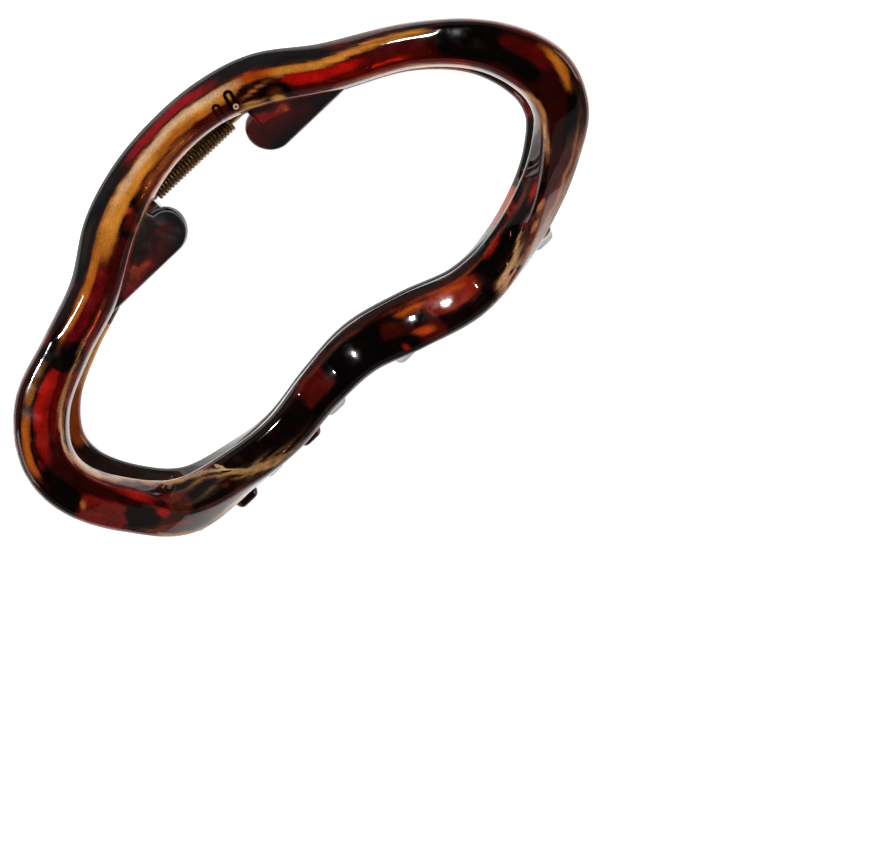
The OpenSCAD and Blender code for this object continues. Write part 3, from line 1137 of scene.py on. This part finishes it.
def front_colouring() -> Colouring:
    """The front jaw's clouds: an amber band on the thumb arch, red sides and a nearly black tooth bar, with
    painted highlights, painted reflections and painted glow among them.
    """
    arch = [
        # outer shoulder of the thumb arch, nearly black with a crimson cloud
        Streak("#0d0706", 24.9, 33.3, (0.74, 0.8), (0.34, 0.26), 12),
        Streak("#3a3c35", 0.35, 1.1, (0.72, 0.68), (0.12, 0.14), 2.5),
        Streak("#2f312c", 1.3, 1.85, (0.78, 0.78), (0.2, 0.2)),
        Streak("#2a1c1c", 2.0, 7.0, (0.85, 0.85), (0.12, 0.12), 6),
        Streak("#a00a16", 2.1, 4.15, (0.6, 0.6), (0.18, 0.19), 6),
        Streak("#2c2825", 4.2, 5.3, (0.7, 0.7), (0.2, 0.2), 4),
        Streak("#5c1010", 6.15, 6.45, (0.8, 0.8), (0.15, 0.15), 2),
        Streak("#3d3029", 6.5, 7.1, (0.78, 0.82), (0.1, 0.08)),
        # front face of the arch: amber band over red-brown, partly the resin's own amber and partly painted
        # glow where light shines back through the plastic
        Streak("#561008", 24.9, 33.4, (-0.3, -0.3), (0.72, 0.72), 12),
        Streak("#c87426", 0.45, 4.75, (0.0, 0.04), (0.38, 0.34), 5),
        Streak("#ee9834", 0.75, 4.5, (0.0, 0.0), (0.28, 0.28), 5),
        Streak("#c06a20", 2.5, 4.1, (-0.24, -0.22), (0.14, 0.12), 4),
        # painted highlight: a pale band of light along the arch
        Streak("#ffcfa0", 1.55, 4.4, (0.17, 0.17), (0.13, 0.15), 4),
        Streak("#c04a10", 4.6, 5.4, (0.2, 0.15), (0.2, 0.18)),
        Streak("#420a06", 4.45, 5.35, (-0.4, -0.3), (0.42, 0.36), 4),
        Streak("#680c08", 5.25, 7.35, (-0.45, -0.25), (0.48, 0.5), 6),
        Streak("#c41008", 5.45, 6.45, (-0.3, -0.2), (0.22, 0.2)),
        Streak("#ec9438", 5.25, 7.25, (0.08, 0.5), (0.2, 0.12), 4),
        # painted shade: a dark line along the shoulder crease
        Streak("#1a0805", 24.9, 33.0, (0.4, 0.4), (0.035, 0.035), 12),
        # the lugs and the spring show through from behind, painted in, with painted glints on them and a
        # painted highlight along the inner edge
        Streak("#1a0605", 0.9, 1.75, (-0.62, -0.62), (0.34, 0.34), 6),
        Streak("#6a1a0e", 1.05, 1.5, (-0.6, -0.6), (0.2, 0.2), 4),
        Streak("#a82a16", 1.1, 1.3, (-0.88, -0.88), (0.09, 0.09), 2),
        Streak("#c04428", 1.3, 1.5, (-0.34, -0.38), (0.07, 0.07), 2),
        Streak("#140504", 4.95, 5.5, (-0.66, -0.66), (0.34, 0.34), 6),
        Streak("#6e3210", 5.05, 5.35, (-0.68, -0.68), (0.2, 0.2), 4),
        Streak("#f0b048", 5.12, 5.3, (-0.86, -0.88), (0.09, 0.09), 2),
        Streak("#e8a048", 4.62, 4.95, (-0.74, -0.78), (0.05, 0.05), 3),
        Streak("#e8a850", 4.6, 4.95, (-0.9, -0.94), (0.05, 0.05), 3),
        Streak("#c07038", 4.65, 5.05, (-0.45, -0.2), (0.05, 0.05), 3),
        Streak("#8e4620", 1.85, 4.0, (-0.62, -0.6), (0.16, 0.16), 4),
        Streak("#5c100a", 3.35, 4.3, (-0.6, -0.55), (0.2, 0.18), 4),
        Streak("#f4a864", 1.7, 4.55, (-0.97, -0.97), (0.06, 0.06), 6),
    ]
    right = [
        Streak("#4a0a07", 7.2, 9.9, (0.05, 0.05), (0.9, 0.9), 6),
        Streak("#120404", 7.35, 8.3, (0.1, 0.1), (0.75, 0.75), 4),
        Streak("#6c0808", 8.2, 9.1, (0.3, 0.3), (0.25, 0.25)),
        Streak("#150504", 8.0, 9.0, (-0.25, -0.3), (0.3, 0.3)),
        Streak("#4a0c08", 9.0, 11.2, (-0.3, -0.35), (0.55, 0.4), 5),
        Streak("#5a1a10", 9.0, 10.9, (-1.0, -0.85), (0.12, 0.12)),
        Streak("#120504", 9.7, 11.0, (0.5, 0.45), (0.45, 0.35)),
        Streak("#de8024", 8.85, 9.65, (0.6, 0.38), (0.14, 0.13), 2.5),
        # painted highlights: amber lines of light along the inner edge
        Streak("#d88a4a", 6.5, 7.9, (-0.86, -0.97), (0.04, 0.05)),
        Streak("#d8904c", 8.7, 10.1, (-0.97, -0.74), (0.06, 0.06), 4),
        Streak("#dc9854", 10.0, 11.1, (-0.76, -0.3), (0.06, 0.06), 4),
        # painted reflection: a pale rim along the outer edge
        Streak("#b8927a", 6.9, 10.0, (0.99, 0.93), (0.05, 0.05), 6),
        Streak("#8a4a2a", 8.9, 9.8, (0.85, 0.85), (0.03, 0.03)),
        # turned face at the lower right, pale where it mirrors the room
        Streak("#6a3e38", 10.35, 13.2, (0.5, 0.35), (0.32, 0.42)),
        Streak("#3c403c", 11.3, 11.65, (0.62, 0.62), (0.13, 0.13), 2),
        Streak("#3c403c", 12.15, 12.6, (0.8, 0.8), (0.18, 0.18), 2),
        Streak("#3c403c", 12.8, 13.05, (0.62, 0.62), (0.15, 0.15), 2),
        Streak("#d09060", 10.8, 12.7, (0.55, 0.6), (0.035, 0.045), 4),
        Streak("#c88a58", 11.0, 12.9, (0.72, 0.7), (0.035, 0.045), 4),
        Streak("#0e0403", 11.0, 13.6, (-0.42, -0.42), (0.22, 0.25), 4),
        Streak("#140403", 12.6, 13.8, (0.0, 0.55), (0.14, 0.14)),
        Streak("#e0b070", 12.5, 13.3, (-0.1, 0.45), (0.05, 0.06)),
        Streak("#e8b488", 13.1, 13.75, (0.62, 0.88), (0.08, 0.1), 2.5),
        Streak("#5a4a46", 10.9, 12.5, (-0.5, -0.55), (0.03, 0.04)),
        Streak("#d8905c", 11.9, 12.2, (0.12, 0.1), (0.1, 0.08), 2),
        Streak("#2a1512", 12.3, 12.55, (0.22, 0.26), (0.15, 0.15), 2),
        Streak("#c88458", 12.36, 12.48, (0.24, 0.25), (0.08, 0.08), 2),
        Streak("#ecb884", 12.9, 13.7, (0.3, 0.72), (0.07, 0.08), 4),
        Streak("#d49a68", 11.6, 13.4, (0.9, 0.9), (0.05, 0.05), 4),
        Streak("#a8200f", 11.7, 12.1, (-0.28, -0.3), (0.08, 0.08), 2),
        Streak("#a01612", 12.9, 13.3, (-0.6, -0.55), (0.14, 0.14), 2),
    ]
    tooth_bar = [
        Streak("#2a0806", 13.5, 19.0, (0, 0), (1.0, 1.0), 12),
        Streak("#9a260e", 13.6, 14.75, (-0.2, -0.25), (0.45, 0.42)),
        Streak("#cc4c18", 13.9, 14.4, (-0.4, -0.45), (0.1, 0.1), 2),
        Streak("#0b0303", 13.6, 14.2, (0.6, 0.6), (0.32, 0.3)),
        Streak("#6a160a", 14.55, 15.1, (0.5, 0.5), (0.35, 0.35)),
        Streak("#d24e1a", 14.7, 15.05, (0.45, 0.42), (0.13, 0.12), 2),
        Streak("#8a2a10", 14.7, 15.2, (-0.4, -0.45), (0.2, 0.2), 2),
        Streak("#e0641c", 14.75, 15.15, (-0.42, -0.42), (0.08, 0.08), 2),
        Streak("#5c140a", 15.0, 15.7, (0.05, -0.1), (0.25, 0.3), 2.5),
        Streak("#0b0303", 15.0, 15.75, (0.6, 0.6), (0.33, 0.33), 4),
        Streak("#a0160e", 15.2, 15.3, (0.68, 0.68), (0.14, 0.14), 2),
        Streak("#0b0303", 15.6, 16.75, (0, 0), (0.95, 0.95), 4),
        Streak("#6a120c", 16.7, 17.5, (-0.3, -0.3), (0.55, 0.55), 5),
        Streak("#0c0303", 16.7, 17.5, (0.6, 0.6), (0.32, 0.32), 4),
        Streak("#200707", 17.4, 18.7, (0, 0), (0.98, 0.98), 5),
        Streak("#b8502c", 13.2, 15.9, (-0.62, -0.72), (0.03, 0.03), 4),
        Streak("#561008", 13.3, 16.0, (-0.78, -0.82), (0.1, 0.1), 4),
        Streak("#2c2e2b", 13.0, 17.0, (-0.95, -0.97), (0.05, 0.05), 4),
        # tooth tips that stand out past the bar, painted brown and orange for light shining through them and
        # grey where they mirror the room
        Streak("#3a3430", 12.2, 13.0, (1.5, 1.5), (0.42, 0.42), 4),
        Streak("#7a2a12", 14.9, 15.9, (1.5, 1.5), (0.42, 0.42), 4),
        Streak("#b0642c", 16.7, 17.5, (1.5, 1.5), (0.42, 0.42), 4),
        Streak("#2a120c", 17.6, 18.4, (1.5, 1.5), (0.42, 0.42), 4),
        Streak("#5a5048", 18.5, 19.4, (1.5, 1.5), (0.42, 0.42), 4),
    ]
    left = [
        Streak("#4a2414", 18.5, 19.5, (0.35, 0.2), (0.4, 0.5), 2.5),
        Streak("#241008", 19.3, 20.6, (0, 0), (0.85, 0.85), 4),
        Streak("#62260f", 19.95, 20.55, (0.1, 0.1), (0.6, 0.6)),
        Streak("#4a0a08", 20.4, 24.8, (-0.4, -0.35), (0.5, 0.5), 6),
        Streak("#861a10", 21.1, 21.95, (0.35, 0.35), (0.5, 0.5), 5),
        Streak("#0b0303", 20.55, 21.15, (0.3, 0.3), (0.5, 0.5), 2),
        Streak("#a8101a", 20.4, 20.65, (0.05, -0.05), (0.14, 0.12), 2),
        Streak("#0c0404", 21.9, 22.75, (0.4, 0.4), (0.48, 0.5), 4),
        Streak("#9a1410", 20.7, 21.3, (-0.4, -0.6), (0.16, 0.1), 2),
        Streak("#3c0a08", 22.6, 25.0, (0.6, 0.55), (0.26, 0.25), 5),
        Streak("#a0130c", 22.9, 24.75, (-0.1, -0.05), (0.22, 0.28)),
        Streak("#c0140c", 23.5, 24.6, (0.05, 0.02), (0.13, 0.15), 2.5),
        Streak("#7a0c0a", 23.2, 24.7, (-0.55, -0.45), (0.12, 0.12)),
        Streak("#0d0404", 22.5, 24.9, (0.3, 0.25), (0.05, 0.07)),
        Streak("#d0661c", 22.75, 23.75, (0.5, 0.48), (0.15, 0.15), 4),
        Streak("#b06a28", 23.95, 24.25, (0.45, 0.45), (0.12, 0.12), 2.5),
        Streak("#8a5020", 24.2, 24.7, (0.5, 0.45), (0.14, 0.12), 2.5),
        Streak("#100405", 24.7, 25.15, (0, 0), (0.9, 0.9), 4),
        Streak("#7c0c12", 25.1, 26.3, (0, -0.05), (0.35, 0.35), 4),
        Streak("#2e0606", 25.1, 26.4, (0.5, 0.5), (0.2, 0.15), 4),
        Streak("#d8741e", 25.15, 26.6, (0.25, 0.28), (0.12, 0.16)),
        Streak("#6a120e", 24.9, 25.3, (0.85, 0.8), (0.12, 0.12), 2),
        # painted reflection: a pale rim along the outer edge
        Streak("#b89a8a", 21.7, 24.4, (0.95, 0.98), (0.07, 0.08), 4),
        # bright lines where the inner edge carries light along the bar
        Streak("#d8a070", 19.5, 21.0, (-0.78, -0.88), (0.05, 0.05), 4),
        Streak("#e0a878", 20.9, 22.6, (-0.88, -0.93), (0.05, 0.05), 4),
        Streak("#e4a468", 22.0, 24.7, (-0.93, -0.62), (0.045, 0.05), 4),
        Streak("#c8945c", 18.1, 19.6, (0.85, -0.55), (0.03, 0.04)),
        Streak("#e8c48c", 18.8, 19.5, (0.1, -0.7), (0.04, 0.06)),
        Streak("#b08050", 18.4, 19.5, (0.5, -0.1), (0.03, 0.03)),
        Streak("#e0a868", 18.85, 19.75, (0.85, 0.72), (0.06, 0.06)),
        Streak("#d8985c", 20.0, 20.5, (0.74, 0.72), (0.05, 0.05)),
        Streak("#1c0a08", 19.25, 19.5, (0.08, 0.02), (0.16, 0.16), 2),
        Streak("#6a2c1c", 19.31, 19.44, (0.06, 0.04), (0.08, 0.08), 2),
        Streak("#d4a064", 18.55, 19.2, (0.35, -0.2), (0.03, 0.05)),
        Streak("#e8b070", 18.3, 18.75, (0.8, 0.35), (0.03, 0.04)),
        Streak("#b86a30", 21.8, 21.9, (0.3, 0.3), (0.12, 0.12), 2),
        Streak("#e2b884", 19.15, 19.35, (-0.35, -0.75), (0.1, 0.1), 2),
    ]
    wings = [
        Spot("#1c0507", -17.0, 19.0, 14.0, 7.0),
        Spot("#0b0304", -12.5, 20.0, 4.0, 3.2),
        Spot("#5c0a0c", -17.0, 22.5, 2.4, 1.2, -30),
        Spot("#6a080c", 19.0, 20.0, 14.0, 7.0),
        Spot("#1a0405", 17.0, 22.2, 2.6, 1.6, 20),
        Spot("#160405", 13.0, 18.6, 3.0, 1.4, 10),
        Spot("#c4141c", 13.2, 21.3, 1.3, 1.1),
        Spot("#8c1014", 19.5, 22.0, 1.8, 0.9, 40),
    ]
    return Colouring(arch + right + tooth_bar + left, wings)


def back_colouring() -> Colouring:
    """The back jaw's clouds, which show along the inner edge of the ring."""
    streaks = [
        Streak("#2a0806", 6.8, 12.0, (-0.9, -0.9), (0.5, 0.5), 6),
        Streak("#b8581c", 6.3, 7.9, (-0.95, -0.95), (0.3, 0.3)),
        Streak("#5a1a10", 9.0, 10.4, (-0.95, -0.95), (0.4, 0.4)),
        Streak("#0c0404", 10.4, 12.0, (-0.9, -0.9), (0.5, 0.5), 4),
        Streak("#c8561a", 12.0, 12.8, (-0.9, -0.9), (0.5, 0.5), 2.5),
        Streak("#140606", 12.7, 20.0, (-0.9, -0.9), (0.6, 0.6), 8),
        Streak("#1a0e0c", 19.8, 22.8, (-0.9, -0.9), (0.6, 0.6), 6),
        Streak("#a04a1e", 22.6, 24.4, (-0.95, -0.95), (0.5, 0.5), 4),
        Streak("#e0a256", 24.3, 25.5, (-0.95, -0.95), (0.5, 0.5), 4),
    ]
    return Colouring(streaks, [Spot("#180507", 0.0, 20.0, 40.0, 7.0)], all_round=True)


def main() -> None:
    """Builds the clip and the studio."""
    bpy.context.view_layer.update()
    path = RingPath()
    front_skin = TortoiseshellAcrylic("tortoiseshell_acrylic_front", seed=1.0, leg_slots=True).make()
    back_skin = TortoiseshellAcrylic("tortoiseshell_acrylic_back", seed=8.0).make()
    front_teeth = [
        (-39.6, -18.0, 8.6), (-25.2, -19.4, 6.4), (-10.8, -19.0, 5.6), (3.6, -20.8, 5.6),
        (18.0, -23.6, 5.6), (32.4, -22.6, 7.4),
    ]
    back_teeth = [
        (-31.4, -19.8, 6.8), (-17.0, -19.6, 5.6), (-2.6, -17.6, 5.6), (11.8, -22.0, 5.6), (26.2, -22.6, 6.2),
    ]
    front = Jaw(
        Side.FRONT, path, front_teeth, (-14.2, 13.4), 1.04, [(8.4, 1.1), (11.2, 1.5)], [(19.2, 0.45)]
    ).build("front_jaw_shell", front_skin, front_colouring())
    back = Jaw(
        Side.BACK, path, back_teeth, (-10.6, 17.0), 0.99, [(-7.89, 1.1)], [(5.6, 0.1)]
    ).build("back_jaw_shell", back_skin, back_colouring())
    hinge = Hinge()
    pin = hinge.pin(BrassPin().make())
    spring = hinge.spring(BronzedWire().make())
    for piece, body, node, slot in (
        (front, "front", "front_jaw", "tortoiseshell_front"),
        (back, "back", "back_jaw", "tortoiseshell_back"),
        (pin, "back", "hinge_pin", "pin_metal"),
    ):
        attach(piece, body)
        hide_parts(node)
    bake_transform(spring)
    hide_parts("torsion_spring")
    Studio().build()


if __name__ == "__main__":
    main()
